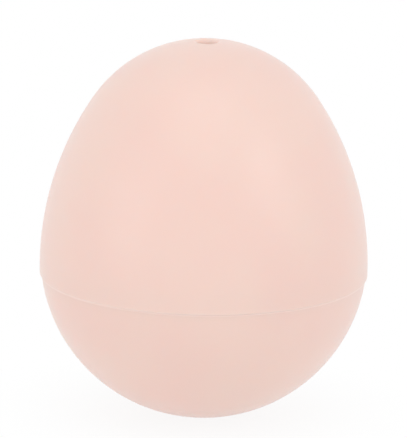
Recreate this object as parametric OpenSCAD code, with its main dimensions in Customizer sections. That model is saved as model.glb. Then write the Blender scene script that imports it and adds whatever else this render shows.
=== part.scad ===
// Wobble ball for a cat: an egg-shaped plastic shell in two halves, with a cast weight in its foot
// and a small socket in its crown for a wand. It stands on its round foot and rights itself when pushed over.

/* [Shell] */
// Width of the ball-shaped lower half
ball_d = 80; // [70:1:96]
// How far the upper half stands out past the lower one at its widest, all round
dome_proud = 0.15; // [0:0.05:0.4]
// Radius of the long curve of the flank
flank_r = 74.5; // [60:0.5:110]
// Radius of the crown
crown_r = 33.2; // [27:0.1:38]
// How far the widest part of the upper half lies below the middle of the ball
waist_drop = 2.8; // [1.5:0.1:4]
// How far the seam between the halves lies below the middle of the ball
seam_drop = 4.5; // [3.5:0.1:6]
// Wall thickness of both halves
wall = 2.4; // [2.2:0.1:2.8]

/* [Wand socket] */
// Bore of the socket in the crown
socket_d = 4.6; // [4:0.1:7]
// Depth of the socket below its rim
socket_depth = 14; // [8:1:30]
// Wall of the tube that hangs below the crown
socket_wall = 1.6; // [1.2:0.1:2.4]
// Rounding of the rim round the hole
rim_round = 1.1; // [0.3:0.1:1.3]
// How many gussets hold the tube to the crown
gusset_count = 4; // [3:1:6]
// Thickness of a gusset
gusset_t = 1.2; // [0.8:0.1:3]
// How far a gusset reaches out from the tube
gusset_reach = 8; // [4:0.5:16]

/* [Seam] */
// Thickness of the lower half's lip, inside the seam
lip_t = 1.2; // [0.9:0.05:1.4]
// Height of the lip above the seam
lip_h = 5; // [4.4:0.1:6]
// Gap between the lip and the skirt round it
lip_gap = 0.1; // [0.05:0.05:0.2]
// Radius of the snap bead on the lip
bead_r = 0.45; // [0.3:0.05:0.5]
// Height of the bead's middle above the seam
bead_z = 2.8; // [2.2:0.1:3]
// Small bevel along both edges of the seam
seam_bevel = 0.15; // [0.05:0.05:0.3]
// How many keys stop the halves from turning
key_count = 3; // [2:1:6]
// Width of a key
key_w = 4; // [3:0.5:6]
// Depth of the key's notch in the lip
key_h = 1.2; // [0.8:0.1:1.4]

/* [Weight] */
// Height of the pad in the foot that the weight sits on
pad_h = 1.6; // [1.2:0.1:2]
// Diameter of the pad
pad_d = 18; // [14:0.5:20]
// Thickness of the weight, from the pad to its flat top
weight_h = 11; // [9:0.5:15]
// Gap between the weight and the bowl round it
weight_gap = 0.3; // [0.2:0.1:0.6]
// Bevel round the weight's top edge
weight_bevel = 1; // [0.5:0.1:1.5]
// Diameter of the pin that centres the weight
pin_d = 6; // [4:0.5:10]
// Height of the pin above its pad
pin_h = 4; // [2:0.5:8]
// Diameter of the recess in the weight's top that keeps the casting's gate stub below the cover
sink_d = 12; // [11:0.5:18]
// Depth of that recess
sink_h = 2; // [1:0.5:3]

/* [Cover] */
// Thickness of the cover's plate
cover_t = 1.8; // [1.4:0.1:2.4]
// Gap between the cover and the bowl round it
cover_gap = 0.4; // [0.3:0.1:0.8]
// Height of the cover's rim above its plate
rim_h = 2.6; // [1.5:0.1:4]
// Thickness of the rim
rim_t = 1.4; // [1:0.1:2]
// How many ribs stiffen the cover between one screw and the next
ribs_per_gap = 2; // [1:1:3]
// Thickness of a rib
rib_t = 1.2; // [0.8:0.1:1.6]
// Height of a rib above the plate
rib_h = 1.8; // [1:0.1:2.4]
// Diameter of the hub where the ribs meet
hub_d = 11; // [6:0.5:18]
// Height of the hub above the plate
hub_h = 2.4; // [1:0.1:4]
// Diameter of the raised land that a screw's head bears on
land_d = 7.6; // [6:0.2:9]
// Height of that land above the plate
land_h = 0.6; // [0.3:0.1:1]

/* [Screws] */
// How many screws hold the cover
screw_count = 3; // [2:1:4]
// Radius of the circle that the screws stand on
screw_circle_r = 18; // [15:0.5:20]
// Thread diameter of a screw
screw_d = 3; // [2.6:0.1:3.2]
// Length of a screw under its head
screw_len = 8; // [6:0.5:9]
// Diameter of a screw's head
head_d = 5.6; // [5:0.1:6]
// Height of a screw's head
head_h = 2; // [1.6:0.1:2.4]
// Outside diameter of the bosses that take the screws
boss_d = 6.4; // [5.4:0.1:8]

/* [Hidden] */

$fn = 180;
// Far enough to cut right through what it cuts
past = 1;
// Where two arcs meet in a tangent, one is struck this much larger, so that they cross cleanly
arc_lap = 0.003;
// How far below that crossing the larger arc begins, inside the other
lap_angle = 3;
// Clearance between a pin or boss and the hole it stands in
fit_gap = 0.25;
// Room left below a screw's tip
tip_room = 0.8;
// Room left between the bosses and the cover, so that the cover bears on the weight
clamp_gap = 0.2;
// Room between the lip's top and the ledge above it, and beside a key
ledge_gap = 0.2;
// Clearance round the bead in its groove
groove_gap = 0.1;
// A screw's core, as a share of its thread
core_share = 0.76;
// Clearance between a screw's core and its pilot hole
pilot_gap = 0.05;
// Height of the straight side of a screw's head, below its dome
head_side = 0.5;
// Width of the arms of a screw's cross recess
recess_w = 0.8;
// Length of those arms, and their depth, as a share of the head's width and height
recess_share = 0.6;
// Length of a screw's pointed tip
tip_len = 1.4;

// The ball: its radius, the height of its middle, and the lowest point of its inside
ball_r = ball_d / 2;
ball_z = ball_r;
inner_r = ball_r - wall;
bowl_floor_z = ball_z - inner_r;

// The dome: a flank arc and a crown arc that meet where both share one normal
dome_r = ball_r + dome_proud;
waist_z = ball_z - waist_drop;
flank_x = dome_r - flank_r;
crown_rise = sqrt(pow(flank_r - crown_r, 2) - pow(flank_x, 2));
crown_z = waist_z + crown_rise;
top_z = crown_z + crown_r;
meet_angle = atan2(crown_rise, -flank_x);

// The seam, the lip inside it and the skirt round the lip
seam_z = ball_z - seam_drop;
lip_in_r = sqrt(pow(inner_r, 2) - pow(seam_drop, 2));
lip_out_r = lip_in_r + lip_t;
skirt_in_r = lip_out_r + lip_gap;
lip_top_z = seam_z + lip_h;
ledge_z = lip_top_z + ledge_gap;

// The wand socket
socket_r = socket_d / 2;
tube_r = socket_r + socket_wall;
rim_z = crown_z + sqrt(pow(crown_r - rim_round, 2) - pow(socket_r + rim_round, 2));
socket_floor_z = rim_z - socket_depth;
tube_end_z = socket_floor_z - socket_wall;

// The weight and what holds it
seat_z = bowl_floor_z + pad_h;
weight_top_z = seat_z + weight_h;
boss_top_z = weight_top_z - clamp_gap;
cover_top_z = weight_top_z + cover_t;
head_seat_z = cover_top_z + land_h;
rib_count = screw_count * ribs_per_gap;
core_r = screw_d * core_share / 2;
pilot_r = core_r + pilot_gap;
pilot_floor_z = head_seat_z - screw_len - tip_room;

shell_pink = [0.96, 0.84, 0.80];
inner_grey = [0.85, 0.84, 0.82];
cast_grey = [0.30, 0.30, 0.31];
zinc = [0.75, 0.76, 0.78];

// A point at a distance and an angle from the crown's centre
function from_crown(r, angle) = [r * cos(angle), crown_z + r * sin(angle)];

// Repeats its children at even steps round the upright axis
module around(count, start = 0) {
    for (i = [0 : count - 1])
        rotate([0, 0, start + i * 360 / count])
            children();
}

// Half section of the dome, down to the seam, moved in by inset along its own normals
module dome_section(inset) {
    reach = 2 * crown_r;
    intersection() {
        translate([flank_x, waist_z])
            circle(r = flank_r - inset);
        polygon([[0, seam_z], [reach, seam_z], from_crown(reach, meet_angle), [0, crown_z]]);
    }
    intersection() {
        translate([0, crown_z])
            circle(r = crown_r - inset + arc_lap);
        polygon([
            [0, crown_z],
            from_crown(reach, meet_angle - lap_angle),
            [reach, top_z + past],
            [0, top_z + past]
        ]);
    }
}

// The corner that is taken off to round the rim of the socket
module rim_corner() {
    lean = atan2(rim_z - crown_z, socket_r + rim_round);
    difference() {
        polygon([
            [socket_r - past, rim_z],
            [socket_r + rim_round, rim_z],
            from_crown(crown_r, lean),
            from_crown(crown_r + past, lean),
            [socket_r - past, top_z + past]
        ]);
        translate([socket_r + rim_round, rim_z])
            circle(r = rim_round + 2 * arc_lap);
    }
}

// Half section of the upper half: wall, socket tube, rounded rim, and the skirt with its snap groove
module upper_section() {
    difference() {
        union() {
            difference() {
                dome_section(0);
                dome_section(wall);
            }
            intersection() {
                dome_section(wall / 2);
                translate([0, tube_end_z])
                    square([tube_r, top_z - tube_end_z]);
            }
        }
        translate([-past, socket_floor_z])
            square([socket_r + past, top_z + past - socket_floor_z]);
        rim_corner();
        translate([0, seam_z - past])
            square([skirt_in_r, ledge_z - seam_z + past]);
        translate([lip_out_r, seam_z + bead_z])
            circle(r = bead_r + groove_gap);
        polygon([
            [dome_r - seam_bevel, seam_z - past],
            [dome_r - seam_bevel, seam_z],
            [dome_r, seam_z + seam_bevel],
            [dome_r + past, seam_z + seam_bevel],
            [dome_r + past, seam_z - past]
        ]);
    }
}

// Half section of all that is kept of the ball: the wall below the seam, and the weight pad with its pin
module bowl_section() {
    rim_r = sqrt(pow(ball_r, 2) - pow(seam_drop, 2));
    difference() {
        translate([0, -past])
            square([ball_d, seam_z + past]);
        translate([0, ball_z])
            circle(r = inner_r);
        polygon([
            [rim_r - seam_bevel, seam_z],
            [rim_r + past, seam_z - seam_bevel - past],
            [rim_r + past, seam_z + past],
            [rim_r - seam_bevel, seam_z + past]
        ]);
    }
    intersection() {
        translate([0, bowl_floor_z - wall / 4])
            square([pad_d / 2, pad_h + wall / 4]);
        translate([0, ball_z])
            circle(r = ball_r - wall / 2);
    }
    translate([0, bowl_floor_z])
        square([pin_d / 2, pad_h + pin_h]);
}

// Half section of the lip with its snap bead, which starts inside the wall below the seam
module lip_section() {
    bevel = (lip_top_z - seam_z - bead_z - bead_r) / 3;
    polygon([
        [lip_in_r, seam_z - seam_bevel],
        [lip_out_r, seam_z - seam_bevel],
        [lip_out_r, lip_top_z - bevel],
        [lip_out_r - bevel, lip_top_z],
        [lip_in_r, lip_top_z]
    ]);
    translate([lip_out_r, seam_z + bead_z])
        circle(r = bead_r);
}

// A block across the lip or the ledge, for a key or its notch
module key_block(width, bottom_z, top_z) {
    translate([lip_in_r - wall, -width / 2, bottom_z])
        cube([wall + lip_t + lip_gap + bead_r, width, top_z - bottom_z]);
}

module upper_shell() {
    color(shell_pink) {
        rotate_extrude()
            upper_section();
        around(gusset_count)
            gusset();
        intersection() {
            around(key_count)
                key_block(key_w - 2 * ledge_gap, lip_top_z - key_h + ledge_gap, ledge_z + wall / 2);
            rotate_extrude()
                translate([dome_r - wall + lip_gap, seam_z])
                    square([wall / 2, dome_r]);
        }
    }
}

// A gusset between the socket tube and the inside of the crown
module gusset() {
    intersection() {
        rotate([90, 0, 0])
            linear_extrude(height = gusset_t, center = true)
                polygon([
                    [socket_r + socket_wall / 2, socket_floor_z],
                    [tube_r + gusset_reach, top_z],
                    [socket_r + socket_wall / 2, top_z]
                ]);
        rotate_extrude()
            difference() {
                dome_section(wall / 2);
                translate([-past, 0])
                    square([socket_r + socket_wall / 2 + past, top_z]);
            }
    }
}

module lower_shell() {
    color(shell_pink)
        difference() {
            union() {
                bowl();
                rotate_extrude()
                    lip_section();
                around(screw_count)
                    screw_boss();
            }
            around(screw_count)
                translate([screw_circle_r, 0, pilot_floor_z])
                    cylinder(r = pilot_r, h = weight_top_z - pilot_floor_z);
            around(key_count)
                key_block(key_w, lip_top_z - key_h, lip_top_z + past);
        }
}

// The bowl, cut from a ball that lies on its side, so that no pole of the ball falls on the foot
module bowl() {
    intersection() {
        translate([0, 0, ball_z])
            rotate([90, 0, 0])
                sphere(r = ball_r);
        rotate_extrude()
            bowl_section();
    }
}

// A boss that rises from the bowl and takes one cover screw
module screw_boss() {
    intersection() {
        translate([screw_circle_r, 0, 0])
            cylinder(d = boss_d, h = boss_top_z);
        translate([0, 0, ball_z])
            sphere(r = ball_r - wall / 2);
    }
}

// Cast weight: it fills the foot of the bowl, with holes for the pin and the screw bosses
module counterweight() {
    color(cast_grey)
        difference() {
            rotate_extrude()
                difference() {
                    intersection() {
                        translate([0, ball_z])
                            circle(r = inner_r - weight_gap);
                        translate([0, seat_z])
                            square([ball_r, weight_h]);
                    }
                    weight_bevel_corner();
                    translate([-past, weight_top_z - sink_h])
                        square([sink_d / 2 + past, sink_h + past]);
                }
            translate([0, 0, seat_z - past])
                cylinder(r = pin_d / 2 + fit_gap, h = weight_h + 2 * past);
            around(screw_count)
                translate([screw_circle_r, 0, 0])
                    cylinder(r = boss_d / 2 + fit_gap, h = weight_top_z + past);
        }
}

// The corner that is taken off the weight's top edge
module weight_bevel_corner() {
    edge_r = sqrt(pow(inner_r - weight_gap, 2) - pow(ball_z - weight_top_z, 2));
    polygon([
        [edge_r - weight_bevel, weight_top_z],
        [edge_r + past, weight_top_z - weight_bevel - past],
        [edge_r + past, weight_top_z + past],
        [edge_r - weight_bevel, weight_top_z + past]
    ]);
}

// Dished cover that holds the weight down
module weight_cover() {
    cover_r = inner_r - cover_gap;
    color(inner_grey)
        difference() {
            union() {
                rotate_extrude()
                    cover_section(cover_r);
                around(screw_count)
                    translate([screw_circle_r, 0, weight_top_z + cover_t / 2])
                        cylinder(d = land_d, h = cover_t / 2 + land_h);
                intersection() {
                    around(rib_count, 180 / rib_count)
                        translate([0, -rib_t / 2, weight_top_z + cover_t / 2])
                            cube([ball_r, rib_t, rib_h + cover_t / 2]);
                    rotate_extrude()
                        intersection() {
                            translate([0, ball_z])
                                circle(r = cover_r - rim_t / 2);
                            translate([hub_d / 2 - rib_t / 2, weight_top_z])
                                square([ball_r, ball_r]);
                        }
                }
            }
            around(screw_count)
                translate([screw_circle_r, 0, weight_top_z - past])
                    cylinder(r = screw_d / 2 + fit_gap, h = cover_t + land_h + 2 * past);
        }
}

// Half section of the cover: its plate, the ring of its hub, and its rim against the bowl
module cover_section(cover_r) {
    intersection() {
        translate([0, ball_z])
            circle(r = cover_r);
        union() {
            translate([0, weight_top_z])
                square([ball_r, cover_t]);
            translate([hub_d / 2 - rib_t, weight_top_z])
                square([rib_t, cover_t + hub_h]);
            difference() {
                translate([hub_d / 2, weight_top_z])
                    square([ball_r, cover_t + rim_h]);
                translate([0, ball_z])
                    circle(r = cover_r - rim_t);
            }
        }
    }
}

// The cover screws, all alike
module cover_screws() {
    color(zinc)
        around(screw_count)
            translate([screw_circle_r, 0, head_seat_z])
                cover_screw();
}

// One pan-head screw, with its head's underside at the origin
module cover_screw() {
    difference() {
        union() {
            rotate_extrude()
                head_section();
            translate([0, 0, tip_len - screw_len])
                cylinder(r = core_r, h = screw_len - tip_len + past / 2);
            translate([0, 0, -screw_len])
                cylinder(r1 = core_r / 3, r2 = core_r, h = tip_len);
        }
        for (turn = [0, 90])
            rotate([0, 0, turn])
                translate([-head_d * recess_share / 2, -recess_w / 2, head_h * (1 - recess_share)])
                    cube([head_d * recess_share, recess_w, head_h]);
    }
}

// Half section of a pan head: a flat underside, a short side and a domed top
module head_section() {
    head_r = head_d / 2;
    rise = head_h - head_side;
    arc_r = (pow(head_r, 2) + pow(rise, 2)) / (2 * rise);
    intersection() {
        square([head_r, head_h]);
        translate([0, head_h - arc_r])
            circle(r = arc_r);
    }
}

upper_shell();
lower_shell();
counterweight();
weight_cover();
cover_screws();
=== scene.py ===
"""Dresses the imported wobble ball: finishes for its moulded, cast and plated pieces, the threads of its
screws, and a white studio with a camera at the photograph's angle. Everything is in metres."""
import math

import bmesh
import bpy
from bpy.props import FloatProperty, FloatVectorProperty, IntProperty, PointerProperty
from mathutils import Matrix, Vector


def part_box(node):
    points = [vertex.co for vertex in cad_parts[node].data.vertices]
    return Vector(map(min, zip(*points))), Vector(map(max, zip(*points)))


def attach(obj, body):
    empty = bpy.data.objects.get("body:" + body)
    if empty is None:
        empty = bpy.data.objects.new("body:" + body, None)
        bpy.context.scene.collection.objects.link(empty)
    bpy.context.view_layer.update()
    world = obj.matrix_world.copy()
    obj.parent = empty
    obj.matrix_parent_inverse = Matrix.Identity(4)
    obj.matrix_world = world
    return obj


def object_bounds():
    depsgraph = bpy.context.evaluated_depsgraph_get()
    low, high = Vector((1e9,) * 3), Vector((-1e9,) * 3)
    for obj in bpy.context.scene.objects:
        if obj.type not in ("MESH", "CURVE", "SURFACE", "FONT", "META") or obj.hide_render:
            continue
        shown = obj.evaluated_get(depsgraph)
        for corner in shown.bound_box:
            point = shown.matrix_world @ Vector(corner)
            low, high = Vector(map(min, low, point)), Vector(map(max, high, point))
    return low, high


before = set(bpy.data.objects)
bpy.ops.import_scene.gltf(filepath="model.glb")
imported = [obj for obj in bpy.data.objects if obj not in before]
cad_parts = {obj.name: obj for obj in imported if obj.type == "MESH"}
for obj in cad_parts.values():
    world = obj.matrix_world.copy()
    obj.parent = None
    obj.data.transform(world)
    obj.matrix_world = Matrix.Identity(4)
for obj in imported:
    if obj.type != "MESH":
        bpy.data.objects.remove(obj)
cad_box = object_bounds()

bl_info = {
    "name": "Wobble Ball",
    "version": (1, 0, 0),
    "blender": (4, 5, 0),
    "location": "View3D > Sidebar > Wobble Ball",
    "description": "Finishes, screw threads and studio for a weighted egg-shaped cat toy",
    "category": "Object",
}

MM = 0.001

# The three softboxes: where each one stands, and its width and height
SOFTBOXES = {
    "left": ((-0.64, -0.44, 0.22), (0.45, 0.50)),
    "right": ((0.55, -0.38, 0.42), (0.30, 0.40)),
    "top": ((-0.05, -0.30, 0.80), (0.60, 0.60)),
}

# Where the soft masks of the shell's finish begin and end, as shares of the size that each one follows
# The first two shape the band of painted light along the seam
SEAM_LIGHT_FULL = 0.3
SEAM_LIGHT_OVER = 0.4
RIM_FADE = (0.45, 0.53)
RIM_ROUNDED = 0.5
STUB_FADE = (0.4, 0.6)

# How far each place of the shell takes on its other colour
CLOUD_COLOUR = 0.5
SPECK_COLOUR = 0.2
# Painted light: the seam's edges are painted paler, to cancel the shade line under the shell's overhang
SEAM_LIGHT_COLOUR = 0.85
# Painted light: down in the socket and on its rounding the colour is painted paler, to lift the shade there
SOCKET_LIGHT_COLOUR = 0.9
RIM_LIGHT_COLOUR = 0.2
STUB_COLOUR = 0.8

# The same for the inner pieces and the floor
WORN_COLOUR = 0.35
SWIRL_COLOUR = 0.6
YELLOWED_COLOUR = 0.4
PAPER_COLOUR = 0.1

# How much each signal changes the shell's roughness
HAZE_ROUGH = 0.08
SPECK_ROUGH = 0.06
STUB_ROUGH = 0.2

# How much a plastic bends light
PLASTIC_IOR = 1.49

# The thread's ridge: half its width as a share of the pitch, its crest as a share of that, its root as a
# share of the shank, how quickly it rises at its ends, and the least that it stands proud there
RIDGE_SHARE = 0.3
CREST_SHARE = 0.12
ROOT_SHARE = 0.9
RISE = 8
LEAST_RISE = 0.02

# How thin the shank is at its tip, as a share of its width further up
TIP_SHARE = 0.35

# Plain length at the very tip, before the thread starts
TIP_PLAIN = 0.3 * MM

# What tells the screws apart: how high a slice of their tips is looked at, and less than their distance
TIP_SLICE = 0.1 * MM
SCREWS_APART = 5 * MM

# How near and how far the camera sees
CLIP_RANGE = (0.01, 20)

# Places that the finishes need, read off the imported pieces
SEAM_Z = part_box("upper_shell")[0].z
SHELL_TOP_Z = cad_box[1].z
SCREW_LOW, SCREW_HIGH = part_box("cover_screws")


def linear(*shown):
    """The linear colour of one that is given as it is shown, from 0 to 1."""
    return tuple(c / 12.92 if c <= 0.04045 else ((c + 0.055) / 1.055) ** 2.4 for c in shown)


def colour_property(name, description, shown):
    """A colour that a user may pick."""
    return FloatVectorProperty(
        name=name,
        description=description,
        subtype="COLOR",
        size=3,
        min=0,
        max=1,
        default=linear(*shown),
    )


def length_property(name, description, millimetres):
    """A length that a user may set, in the scene's own units."""
    return FloatProperty(
        name=name,
        description=description,
        subtype="DISTANCE",
        unit="LENGTH",
        min=0,
        precision=5,
        default=millimetres * MM,
    )


def share_property(name, description, share):
    """A number from 0 to 1."""
    return FloatProperty(
        name=name, description=description, subtype="FACTOR", min=0, max=1, default=share
    )


def power_property(name, watts):
    """The power of a lamp."""
    return FloatProperty(
        name=name, description="Power of this lamp", subtype="POWER", unit="POWER", min=0, default=watts
    )


class ShellFinish(bpy.types.PropertyGroup):
    """The satin pink of the two moulded halves."""

    pink: colour_property("Pink", "Colour of the plastic", (0.955, 0.825, 0.785))
    cream: colour_property("Cream", "Colour that the pink drifts towards in clouds", (0.955, 0.845, 0.8))
    # Partly painted light: in the socket this colour paints the shade paler; on the gate's stub it is the
    # stub's own colour
    socket_light_and_stub: colour_property("Pale", "Colour in the socket and on the gate's stub", (0.995, 0.895, 0.85))
    # Painted light: this colour paints the seam's edges paler, to cancel the shade line under the shell's
    # overhang
    lightened: colour_property("Seam_light", "Colour of the trimmed edges along the seam", (1.0, 0.885, 0.85))
    roughness: share_property("Roughness", "Mean roughness of the satin surface", 0.38)
    grain: length_property("Grain", "Width of the mould's fine grain", 0.35)
    cloud: length_property("Cloud", "Width of a soft cloud in the colour", 24)
    ripple: length_property("Ripple", "Width of the slow unevenness that the mould leaves", 13)
    ripple_depth: length_property("Ripple depth", "Depth of that unevenness", 0.03)
    grain_depth: length_property("Grain depth", "Depth of the fine grain", 0.006)
    trim: length_property("Trim", "Width of the trimmed stub of the gate at the very bottom", 2.6)
    trim_h: length_property("Trim height", "How far up the stub's finish reaches", 0.2)
    trim_depth: length_property("Trim depth", "Depth of the marks that trimming left on the stub", 0.08)
    rim: length_property("Rim", "Width over the rounding round the socket", 6.8)
    rim_h: length_property("Rim height", "Height of that rounding", 1.1)
    edge: length_property("Edge", "Height of the trimmed edges along the seam", 0.7)
    cloudy: share_property("Cloudiness", "Share of the light that spreads in the plastic", 0.4)
    spread: length_property("Spread", "How far red light spreads in the plastic", 1.5)
    sheen: share_property("Sheen", "Pale sheen of the fine grain at a flat angle", 0.3)


class InnerFinish(bpy.types.PropertyGroup):
    """The pieces that are closed inside the shell."""

    iron: colour_property("Iron", "Colour of the cast weight", (0.33, 0.33, 0.34))
    worn: colour_property("Worn", "Colour of the worn tops of the casting's sand marks", (0.52, 0.52, 0.53))
    scale: colour_property("Scale", "Colour of the thin brown scale on the casting", (0.31, 0.27, 0.24))
    cover: colour_property("Cover", "Colour of the moulded cover", (0.86, 0.85, 0.83))
    swirl: colour_property("Swirl", "Colour of the flow marks in the cover", (0.81, 0.80, 0.77))
    zinc: colour_property("Zinc", "Colour of the plated screws", (0.76, 0.77, 0.79))
    yellowed: colour_property("Yellowed", "Colour of the plating's yellow traces", (0.80, 0.78, 0.68))
    sand: length_property("Sand", "Width of the sand marks on the casting", 0.9)
    spangle: length_property("Spangle", "Width of a crystal in the zinc plating", 0.5)


class ThreadSizes(bpy.types.PropertyGroup):
    """The threads that the cover screws cut in their bosses."""

    pitch: length_property("Pitch", "Distance from one turn of the thread to the next", 1.25)
    outer_d: length_property("Diameter", "Diameter over the thread's crest", 3)
    core_d: length_property("Core", "Diameter of the plain shank under the thread", 2.28)
    head: length_property("Head", "Height of a screw's head", 2)
    land: length_property("Land", "Plain length under the head before the thread starts", 2.8)
    tip: length_property("Tip", "Length of the pointed tip that the thread runs out on", 1.4)
    steps: IntProperty(name="Steps", description="Sections in one turn", min=12, default=36)


class StudioSetup(bpy.types.PropertyGroup):
    """The white studio and the camera."""

    elevation: FloatProperty(
        name="Elevation",
        description="How far the camera looks down",
        subtype="ANGLE",
        unit="ROTATION",
        default=math.radians(14),
    )
    roll: FloatProperty(
        name="Roll",
        description="How far the camera leans, so that the toy leans to the right",
        subtype="ANGLE",
        unit="ROTATION",
        default=math.radians(0.89),
    )
    distance: length_property("Distance", "From the camera to the toy's axis", 1000)
    view_height: length_property("View height", "Height of the picture at the toy", 107.0)
    aim_z: length_property("Aim", "Height of the point that the picture's middle shows", 48.9)
    aside: length_property("Aside", "How far to the left of the axis the camera stands", 0.21)
    daylight: FloatProperty(
        name="Daylight", description="Strength of the even white light", min=0, default=0.80
    )
    left_w: power_property("Left softbox", 0.7)
    right_w: power_property("Right softbox", 0.65)
    top_w: power_property("Top softbox", 0.75)
    glow: share_property("Glow", "Share of the floor's light that comes from the lamps under it", 0.40)
    floor_w: length_property("Floor", "Width of the floor", 6000)
    floor_drop: length_property("Floor drop", "How far the floor lies below the foot", 0.02)
    floor: colour_property("Floor colour", "Colour of the floor", (0.95, 0.95, 0.95))
    shade: share_property("Shade", "Share of the floor's own light and shadow that the camera sees", 0.12)
    shade_near: length_property("Shade start", "Where the shadow starts to fade, from the axis", 10)
    shade_far: length_property("Shade end", "Where the shadow has faded out, from the axis", 60)


class Signal:
    """One output of a node. Sums and products of signals and numbers become Math nodes."""

    def __init__(self, finish, socket):
        self.finish = finish
        self.socket = socket

    def math(self, operation, *operands):
        return self.finish.node("ShaderNodeMath", {"operation": operation}, dict(enumerate(operands)))

    def __add__(self, other):
        return self.math("ADD", self, other)

    def __sub__(self, other):
        return self.math("SUBTRACT", self, other)

    def __rsub__(self, other):
        return self.math("SUBTRACT", other, self)

    def __mul__(self, other):
        return self.math("MULTIPLY", self, other)

    __radd__ = __add__
    __rmul__ = __mul__


class Finish:
    """A node tree under construction, of a material or of the world."""

    def __init__(self, owner):
        owner.use_nodes = True
        self.owner = owner
        self.tree = owner.node_tree
        self.tree.nodes.clear()

    def node(self, kind, settings=None, inputs=None, output=0):
        """Adds a node of any type: its settings first, then its inputs, each a signal or a value."""
        node = self.tree.nodes.new(kind)
        for name, value in (settings or {}).items():
            setattr(node, name, value)
        for name, value in (inputs or {}).items():
            socket = self.find(node.inputs, name)
            if isinstance(value, Signal):
                self.tree.links.new(value.socket, socket)
            else:
                socket.default_value = value
        return Signal(self, self.find(node.outputs, output))

    @staticmethod
    def find(sockets, name):
        """The socket in use of that name or place."""
        used = [s for s in sockets if s.enabled]
        if isinstance(name, int):
            return used[name]
        return next(s for s in used if s.name == name)

    def coordinates(self):
        """Where a point lies, in metres."""
        return self.node("ShaderNodeTexCoord", output="Object")

    def place(self, axis):
        """How far a point lies along X, Y or Z, in metres."""
        return self.node("ShaderNodeSeparateXYZ", inputs={"Vector": self.coordinates()}, output=axis)

    def radius(self):
        """How far a point lies from the upright axis."""
        flat = self.node(
            "ShaderNodeVectorMath",
            {"operation": "MULTIPLY"},
            {0: self.coordinates(), 1: (1, 1, 0)},
        )
        return self.node("ShaderNodeVectorMath", {"operation": "LENGTH"}, {0: flat}, output="Value")

    def noise(self, width, detail=2, roughness=0.5, stretch=(1, 1, 1)):
        """Soft noise from about 0 to 1 whose spots are about that wide."""
        spot = self.node(
            "ShaderNodeVectorMath",
            {"operation": "MULTIPLY"},
            {0: self.coordinates(), 1: tuple(s / width for s in stretch)},
        )
        return self.node(
            "ShaderNodeTexNoise",
            inputs={"Vector": spot, "Scale": 1.0, "Detail": detail, "Roughness": roughness},
            output="Fac",
        )

    def step(self, value, start, end):
        """A soft step: 0 at start, 1 at end."""
        return self.node(
            "ShaderNodeMapRange",
            {"interpolation_type": "SMOOTHSTEP"},
            {"Value": value, "From Min": start, "From Max": end},
        )

    def blend(self, mask, first, second):
        """Mixes two colours by a mask."""
        return self.node(
            "ShaderNodeMix",
            {"data_type": "RGBA", "blend_type": "MIX"},
            {"Factor": mask, "A": opaque(first), "B": opaque(second)},
        )

    def bump(self, height, depth, under=None):
        """A bump whose height signal of 0 to 1 stands for that depth in metres."""
        inputs = {"Height": height, "Strength": 1.0, "Distance": depth}
        if under is not None:
            inputs["Normal"] = under
        return self.node("ShaderNodeBump", inputs=inputs, output="Normal")

    def end(self, shader, kind="ShaderNodeOutputMaterial"):
        """Links a shader to the tree's output."""
        output = self.tree.nodes.new(kind)
        self.tree.links.new(shader.socket, output.inputs["Surface"])
        return self.owner


def opaque(colour):
    """A colour of three numbers with an alpha of 1; a signal stays as it is."""
    return colour if isinstance(colour, Signal) else (*colour, 1.0)


def seam_light_mask(finish, height, sizes):
    """1 on the band along the seam that is painted paler: painted light that cancels the shade line under
    the shell's overhang.
    """
    under = finish.step(height, SEAM_Z - sizes.edge, SEAM_Z - sizes.edge * SEAM_LIGHT_FULL)
    return under * (1 - finish.step(height, SEAM_Z, SEAM_Z + sizes.edge * SEAM_LIGHT_OVER))


def socket_light_mask(finish, height, radius, sizes):
    """How far the socket is painted paler, painted light that lifts the shade down in it, and less so on
    the rounding round it.
    """
    rim_start, rim_end = (sizes.rim * share for share in RIM_FADE)
    hole_light = 1 - finish.step(radius, rim_start, rim_end)
    hole_light = hole_light * finish.step(height, SHELL_TOP_Z - sizes.rim, SHELL_TOP_Z - sizes.rim_h)
    rounded = finish.step(height, SHELL_TOP_Z - sizes.rim_h, SHELL_TOP_Z - sizes.rim_h * RIM_ROUNDED)
    return hole_light * (SOCKET_LIGHT_COLOUR - rounded * (SOCKET_LIGHT_COLOUR - RIM_LIGHT_COLOUR))


def stub_mask(finish, height, radius, sizes):
    """1 on the trimmed stub of the gate."""
    stub_start, stub_end = (sizes.trim * share for share in STUB_FADE)
    return (1 - finish.step(radius, stub_start, stub_end)) * (1 - finish.step(height, 0, sizes.trim_h))


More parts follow.
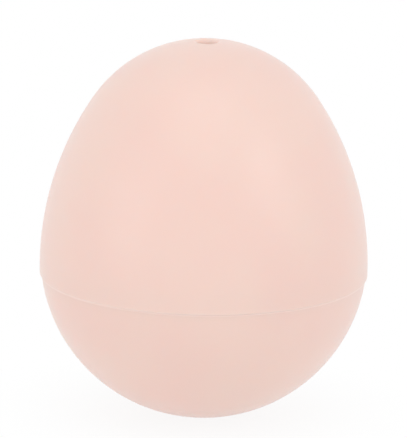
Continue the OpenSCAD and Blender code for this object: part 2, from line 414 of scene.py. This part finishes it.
def satin_plastic(sizes):
    """Moulded pink plastic: soft clouds, a fine grain, painted light on the seam's edges and down in the
    socket, and the stub of its gate.
    """
    finish = Finish(bpy.data.materials.new("satin_pink"))
    height, radius = finish.place("Z"), finish.radius()

    cloud = finish.step(finish.noise(sizes.cloud, detail=1), start=0.35, end=0.65)
    speck = finish.noise(sizes.grain * 2)
    stub = stub_mask(finish, height, radius, sizes)
    colour = finish.blend(cloud * CLOUD_COLOUR + speck * SPECK_COLOUR, sizes.pink, sizes.cream)
    # Painted light: the seam's edges take a paler colour that cancels the shade line under the overhang
    colour = finish.blend(seam_light_mask(finish, height, sizes) * SEAM_LIGHT_COLOUR, colour, sizes.lightened)
    # Painted light down in the socket, plus the stub's own colour
    socket_light_and_stub = socket_light_mask(finish, height, radius, sizes) + stub * STUB_COLOUR
    colour = finish.blend(socket_light_and_stub, colour, sizes.socket_light_and_stub)

    haze = finish.noise(sizes.ripple * 0.5, detail=3)
    smoothest = sizes.roughness - (HAZE_ROUGH + SPECK_ROUGH) / 2
    rough = haze * HAZE_ROUGH + speck * SPECK_ROUGH + smoothest + stub * STUB_ROUGH

    normal = finish.bump(finish.noise(sizes.ripple, detail=1), sizes.ripple_depth)
    normal = finish.bump(finish.noise(sizes.grain, detail=3, roughness=0.6), sizes.grain_depth, normal)
    normal = finish.bump(stub * finish.noise(width=0.4 * MM), sizes.trim_depth, normal)

    shader = finish.node(
        "ShaderNodeBsdfPrincipled",
        inputs={
            "Base Color": colour,
            "Roughness": rough,
            "IOR": PLASTIC_IOR,
            "Normal": normal,
            "Subsurface Weight": sizes.cloudy,
            "Subsurface Radius": (1.0, 0.7, 0.55),
            "Subsurface Scale": sizes.spread,
            "Sheen Weight": sizes.sheen,
            "Sheen Roughness": 0.3,
        },
    )
    return finish.end(shader)


def cast_iron(sizes):
    """Rough sand casting with thin brown scale in its hollows."""
    finish = Finish(bpy.data.materials.new("cast_iron"))
    lumps = finish.noise(sizes.sand * 4, detail=3)
    sand = finish.noise(sizes.sand, detail=4, roughness=0.65)
    scale = finish.step(lumps * 0.7 + sand * 0.3, start=0.48, end=0.62)
    tops = finish.step(sand, start=0.4, end=0.7)
    colour = finish.blend(scale, sizes.iron, sizes.scale)
    colour = finish.blend(tops * WORN_COLOUR, colour, sizes.worn)
    normal = finish.bump(lumps, depth=0.25 * MM)
    normal = finish.bump(sand, depth=0.12 * MM, under=normal)
    shader = finish.node(
        "ShaderNodeBsdfPrincipled",
        inputs={
            "Base Color": colour,
            "Metallic": 0.75 - scale * 0.6,
            "Roughness": 0.6 + scale * 0.25,
            "Normal": normal,
        },
    )
    return finish.end(shader)


def moulded_cover(sizes):
    """Plain off-white moulding with a faint sheen."""
    finish = Finish(bpy.data.materials.new("cover_plastic"))
    swirl = finish.noise(width=9 * MM, stretch=(1, 1, 3))
    grain = finish.noise(width=0.4 * MM, detail=3)
    shader = finish.node(
        "ShaderNodeBsdfPrincipled",
        inputs={
            "Base Color": finish.blend(swirl * SWIRL_COLOUR, sizes.cover, sizes.swirl),
            "Roughness": 0.42 + swirl * 0.12,
            "IOR": PLASTIC_IOR,
            "Normal": finish.bump(grain, depth=0.015 * MM),
        },
    )
    return finish.end(shader)


def zinc_plate(sizes):
    """Bright zinc plating with fine crystals and a trace of yellow passivation."""
    finish = Finish(bpy.data.materials.new("zinc_plate"))
    crystals = finish.node(
        "ShaderNodeTexVoronoi",
        inputs={"Vector": finish.coordinates(), "Scale": 1 / sizes.spangle},
        output="Distance",
    )
    traces = finish.step(finish.noise(width=2 * MM), start=0.4, end=0.7)
    grain = finish.noise(width=0.15 * MM, detail=3)
    shader = finish.node(
        "ShaderNodeBsdfPrincipled",
        inputs={
            "Base Color": finish.blend(traces * YELLOWED_COLOUR, sizes.zinc, sizes.yellowed),
            "Metallic": 1.0,
            "Roughness": 0.24 + crystals * 0.2,
            "Normal": finish.bump(grain, depth=0.006 * MM),
        },
    )
    return finish.end(shader)


def dress(name, material):
    """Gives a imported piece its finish."""
    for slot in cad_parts[name].material_slots:
        slot.material = material


class WOBBLE_OT_shell_halves(bpy.types.Operator):
    """Finish the upper and lower half of the shell"""

    bl_idname = "wobble.shell_halves"
    bl_label = "Shell Halves"
    bl_options = {"REGISTER", "UNDO"}

    def execute(self, context):
        pink = satin_plastic(context.scene.wobble_shell)
        for name in ("upper_shell", "lower_shell"):
            dress(name, pink)
        return {"FINISHED"}


class WOBBLE_OT_counterweight(bpy.types.Operator):
    """Finish the cast weight in the foot"""

    bl_idname = "wobble.counterweight"
    bl_label = "Counterweight"
    bl_options = {"REGISTER", "UNDO"}

    def execute(self, context):
        dress("counterweight", cast_iron(context.scene.wobble_inner))
        return {"FINISHED"}


class WOBBLE_OT_weight_cover(bpy.types.Operator):
    """Finish the cover that holds the weight down"""

    bl_idname = "wobble.weight_cover"
    bl_label = "Weight Cover"
    bl_options = {"REGISTER", "UNDO"}

    def execute(self, context):
        dress("weight_cover", moulded_cover(context.scene.wobble_inner))
        return {"FINISHED"}


def screw_axes():
    """Where the cover screws stand, from the middle of each one's tip."""
    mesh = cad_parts["cover_screws"].data
    low = [v.co for v in mesh.vertices if v.co.z < SCREW_LOW.z + TIP_SLICE]
    groups = []
    for point in low:
        near = next((g for g in groups if (g[0] - point).length < SCREWS_APART), None)
        if near is None:
            groups.append([point])
        else:
            near.append(point)
    return [sum(g, Vector()) / len(g) for g in groups]


def thread_mesh(sizes, start_z, end_z):
    """A closed helical ridge round the Z axis, which runs out at both ends."""
    grid = bmesh.new()
    turns = (end_z - start_z) / sizes.pitch
    count = round(turns * sizes.steps)
    foot = sizes.pitch * RIDGE_SHARE
    rings = []
    for i in range(count + 1):
        share = i / count
        angle = 2 * math.pi * turns * share
        middle = start_z + (end_z - start_z) * share
        risen = max(min(1, RISE * share, RISE * (1 - share)), LEAST_RISE)
        core = sizes.core_d / 2 * min(1, TIP_SHARE + (1 - TIP_SHARE) * (middle - start_z) / sizes.tip)
        crest = core + (sizes.outer_d - sizes.core_d) / 2 * risen
        root = core * ROOT_SHARE
        outline = (
            (root, middle - foot),
            (crest, middle - foot * CREST_SHARE),
            (crest, middle + foot * CREST_SHARE),
            (root, middle + foot),
        )
        rings.append(
            [grid.verts.new((r * math.cos(angle), r * math.sin(angle), z)) for r, z in outline]
        )
    for first, second in zip(rings, rings[1:]):
        for j in range(len(first)):
            k = (j + 1) % len(first)
            grid.faces.new((first[j], second[j], second[k], first[k]))
    grid.faces.new(rings[0])
    grid.faces.new(reversed(rings[-1]))
    bmesh.ops.recalc_face_normals(grid, faces=grid.faces)
    mesh = bpy.data.meshes.new("screw_thread")
    grid.to_mesh(mesh)
    grid.free()
    return mesh


class WOBBLE_OT_cover_screws(bpy.types.Operator):
    """Finish the cover screws and cut their threads"""

    bl_idname = "wobble.cover_screws"
    bl_label = "Cover Screws"
    bl_options = {"REGISTER", "UNDO"}

    def execute(self, context):
        sizes = context.scene.wobble_thread
        zinc = zinc_plate(context.scene.wobble_inner)
        dress("cover_screws", zinc)
        end_z = SCREW_HIGH.z - sizes.head - sizes.land
        for i, axis in enumerate(screw_axes()):
            mesh = thread_mesh(sizes, SCREW_LOW.z + TIP_PLAIN, end_z)
            mesh.transform(Matrix.Translation((axis.x, axis.y, 0)))
            thread = bpy.data.objects.new(f"screw_thread_{i + 1}", mesh)
            context.scene.collection.objects.link(thread)
            mesh.materials.append(zinc)
            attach(thread, "root")
        return {"FINISHED"}


def soft_light(context, name, place, size, power):
    """A rectangular softbox that faces the middle of the toy."""
    data = bpy.data.lights.new(name, "AREA")
    data.shape = "RECTANGLE"
    data.size, data.size_y = size
    data.energy = power
    light = bpy.data.objects.new(name, data)
    middle = (cad_box[0] + cad_box[1]) / 2
    light.location = place
    light.rotation_euler = (middle - Vector(place)).to_track_quat("-Z", "Y").to_euler()
    context.scene.collection.objects.link(light)


def seen(finish):
    """1 for what the camera sees straight on, in a reflection or through glass, and 0 for light."""
    direct, mirrored, through = (
        finish.node("ShaderNodeLightPath", output=f"Is {ray} Ray")
        for ray in ("Camera", "Glossy", "Transmission")
    )
    return finish.node("ShaderNodeClamp", inputs={"Value": direct + mirrored + through}, output="Result")


def white_world(setup):
    """Even white light, and plain white wherever the camera or a reflection sees past the toy."""
    world = bpy.data.worlds.new("studio")
    finish = Finish(world)
    white = (1, 1, 1, 1)
    light = finish.node("ShaderNodeBackground", inputs={"Color": white, "Strength": setup.daylight})
    plain = finish.node("ShaderNodeBackground", inputs={"Color": white, "Strength": 1.0})
    mixed = finish.node("ShaderNodeMixShader", inputs={0: seen(finish), 1: light, 2: plain})
    finish.end(mixed, "ShaderNodeOutputWorld")
    return world


def floor_finish(setup):
    """Pale floor that shows a soft shadow near the toy and plain white further off."""
    finish = Finish(bpy.data.materials.new("floor"))
    near = 1 - finish.step(finish.radius(), setup.shade_near, setup.shade_far)
    paper = finish.noise(width=0.6 * MM) * PAPER_COLOUR
    colour = finish.blend(paper, setup.floor, (0.8, 0.8, 0.8))
    lit = finish.node("ShaderNodeBsdfDiffuse", inputs={"Color": colour})
    white = finish.node("ShaderNodeEmission", inputs={"Color": (1, 1, 1, 1), "Strength": 1.0})
    looked_at = seen(finish)
    whiteness = looked_at * (1 - near * setup.shade) + (1 - looked_at) * setup.glow
    shown = finish.node("ShaderNodeMixShader", inputs={0: whiteness, 1: lit, 2: white})
    under = finish.node("ShaderNodeNewGeometry", output="Backfacing")
    clear = finish.node("ShaderNodeBsdfTransparent")
    return finish.end(finish.node("ShaderNodeMixShader", inputs={0: under, 1: shown, 2: clear}))


class WOBBLE_OT_studio(bpy.types.Operator):
    """Build the white floor, the lights and the camera"""

    bl_idname = "wobble.studio"
    bl_label = "Studio"
    bl_options = {"REGISTER", "UNDO"}

    def execute(self, context):
        setup = context.scene.wobble_studio
        context.scene.world = white_world(setup)
        context.scene.view_settings.view_transform = "Standard"

        half = setup.floor_w / 2
        mesh = bpy.data.meshes.new("floor")
        corners = [(-half, -half, 0), (half, -half, 0), (half, half, 0), (-half, half, 0)]
        mesh.from_pydata(corners, [], [(0, 1, 2, 3)])
        floor = bpy.data.objects.new("floor", mesh)
        floor.location.z = -setup.floor_drop
        mesh.materials.append(floor_finish(setup))
        context.scene.collection.objects.link(floor)

        for name, (place, size) in SOFTBOXES.items():
            soft_light(context, name + "_softbox", place, size, getattr(setup, name + "_w"))

        lens = bpy.data.cameras.new("camera")
        lens.lens = lens.sensor_width * setup.distance / setup.view_height
        lens.clip_start, lens.clip_end = CLIP_RANGE
        camera = bpy.data.objects.new("camera", lens)
        back = Vector((0, -math.cos(setup.elevation), math.sin(setup.elevation)))
        camera.location = Vector((-setup.aside, 0, setup.aim_z)) + back * setup.distance
        turn = (-back).to_track_quat("-Z", "Y").to_matrix() @ Matrix.Rotation(setup.roll, 3, "Z")
        camera.rotation_euler = turn.to_euler()
        context.scene.collection.objects.link(camera)
        context.scene.camera = camera
        return {"FINISHED"}


class WOBBLE_PT_sidebar(bpy.types.Panel):
    """Lists the toy's sizes and colours, and a button for each group of pieces."""

    bl_idname = "WOBBLE_PT_sidebar"
    bl_label = "Wobble Ball"
    bl_space_type = "VIEW_3D"
    bl_region_type = "UI"
    bl_category = "Wobble Ball"

    def draw(self, context):
        for title, group_name, steps in SECTIONS:
            box = self.layout.box()
            box.label(text=title)
            group = getattr(context.scene, group_name)
            for name in group.__annotations__:
                box.prop(group, name)
            for step in steps:
                box.operator("wobble." + step)


SECTIONS = (
    ("Shell", "wobble_shell", ("shell_halves",)),
    ("Inside", "wobble_inner", ("counterweight", "weight_cover")),
    ("Screws", "wobble_thread", ("cover_screws",)),
    ("Studio", "wobble_studio", ("studio",)),
)
GROUPS = {
    "wobble_shell": ShellFinish,
    "wobble_inner": InnerFinish,
    "wobble_thread": ThreadSizes,
    "wobble_studio": StudioSetup,
}
CLASSES = (
    *GROUPS.values(),
    WOBBLE_OT_shell_halves,
    WOBBLE_OT_counterweight,
    WOBBLE_OT_weight_cover,
    WOBBLE_OT_cover_screws,
    WOBBLE_OT_studio,
    WOBBLE_PT_sidebar,
)


def register():
    for cls in CLASSES:
        bpy.utils.register_class(cls)
    for name, group in GROUPS.items():
        setattr(bpy.types.Scene, name, PointerProperty(type=group))


def unregister():
    for name in GROUPS:
        delattr(bpy.types.Scene, name)
    for cls in reversed(CLASSES):
        bpy.utils.unregister_class(cls)


def main():
    register()
    for _, _, steps in SECTIONS:
        for step in steps:
            getattr(bpy.ops.wobble, step)()


if __name__ == "__main__":
    main()
